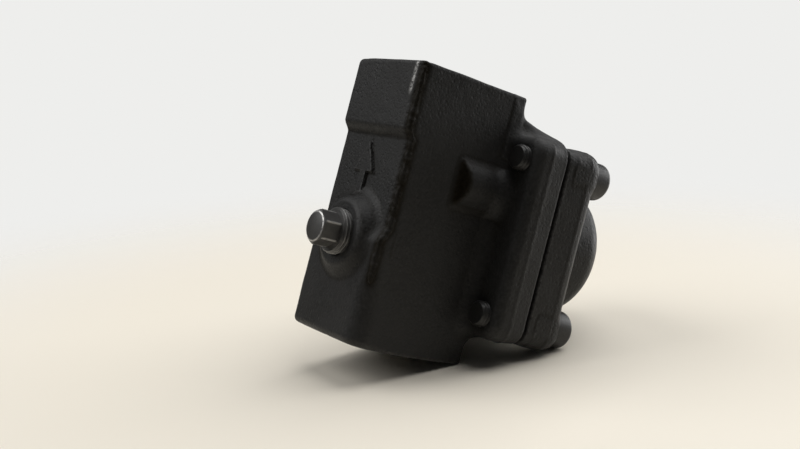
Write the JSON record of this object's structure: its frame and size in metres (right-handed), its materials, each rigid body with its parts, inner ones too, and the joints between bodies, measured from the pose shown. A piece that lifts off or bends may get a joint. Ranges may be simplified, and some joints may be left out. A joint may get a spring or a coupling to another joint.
{
  "type": "steam trap",
  "caption": "Inline bimetal steam trap: forged block body with socket ends, square flange, domed bolted cover, side plug and a valve on a bimetal stack.",
  "frame": {"origin": "centre of the inlet socket's mouth, on the pipe axis", "axes": "+Z along the pipe axis in the direction of flow, +Y towards the domed cover, -Y towards the strainer plug"},
  "size_m": [0.076, 0.1176, 0.102],
  "materials": {
    "forged_black": "blackened forging skin",
    "cover_black": "satin blackened forging",
    "screw_black": "black oxide",
    "plug_dark": "blackened, bare at the edges",
    "gasket": "graphite and steel",
    "stainless": "machined",
    "hard_stainless": "ground",
    "bimetal": "rolled strip"
  },
  "bodies": {
    "trap_body": {"body": "forged_black", "cover": "cover_black", "cover_gasket": "gasket", "cover_screws": "screw_black", "strainer_plug": "plug_dark", "strainer_screen": "stainless", "valve_seat": "stainless", "seat_gasket": "gasket", "stack_base": "stainless"},
    "valve": {"valve_stem": "hard_stainless", "stack_washer": "stainless", "adjusting_nut": "hard_stainless", "lock_nut": "hard_stainless"},
    "bimetal_pair_1": {"bimetal_plate_1": "bimetal", "bimetal_plate_2": "bimetal", "spacer_washer_1": "stainless"},
    "bimetal_pair_2": {"bimetal_plate_3": "bimetal", "bimetal_plate_4": "bimetal", "spacer_washer_2": "stainless"},
    "bimetal_pair_3": {"bimetal_plate_5": "bimetal", "bimetal_plate_6": "bimetal", "spacer_washer_3": "stainless"},
    "bimetal_pair_4": {"bimetal_plate_7": "bimetal", "bimetal_plate_8": "bimetal", "spacer_washer_4": "stainless"},
    "bimetal_pair_5": {"bimetal_plate_9": "bimetal", "bimetal_plate_10": "bimetal", "spacer_washer_5": "stainless"},
    "bimetal_pair_6": {"bimetal_plate_11": "bimetal", "bimetal_plate_12": "bimetal"}
  },
  "joints": [
    {"name": "valve_lift", "type": "slide", "parent": "trap_body", "child": "valve", "axis": [0, 1, 0], "range_m": [0, 0.002], "stiffness_N_per_m": 4000},
    {"name": "pair_1_lift", "type": "slide", "parent": "trap_body", "child": "bimetal_pair_1", "axis": [0, 1, 0], "range_m": [0, 0.0001677]},
    {"name": "pair_2_lift", "type": "slide", "parent": "trap_body", "child": "bimetal_pair_2", "axis": [0, 1, 0], "range_m": [0, 0.000501]},
    {"name": "pair_3_lift", "type": "slide", "parent": "trap_body", "child": "bimetal_pair_3", "axis": [0, 1, 0], "range_m": [0, 0.0008343]},
    {"name": "pair_4_lift", "type": "slide", "parent": "trap_body", "child": "bimetal_pair_4", "axis": [0, 1, 0], "range_m": [0, 0.00117]},
    {"name": "pair_5_lift", "type": "slide", "parent": "trap_body", "child": "bimetal_pair_5", "axis": [0, 1, 0], "range_m": [0, 0.0015]},
    {"name": "pair_6_lift", "type": "slide", "parent": "trap_body", "child": "bimetal_pair_6", "axis": [0, 1, 0], "range_m": [0, 0.00183]}
  ],
  "couplings": [
    {"joint": "pair_1_lift", "follows": "valve_lift", "ratio": 0.083333},
    {"joint": "pair_2_lift", "follows": "valve_lift", "ratio": 0.25},
    {"joint": "pair_3_lift", "follows": "valve_lift", "ratio": 0.41667},
    {"joint": "pair_4_lift", "follows": "valve_lift", "ratio": 0.58333},
    {"joint": "pair_5_lift", "follows": "valve_lift", "ratio": 0.75},
    {"joint": "pair_6_lift", "follows": "valve_lift", "ratio": 0.91667}
  ]
}
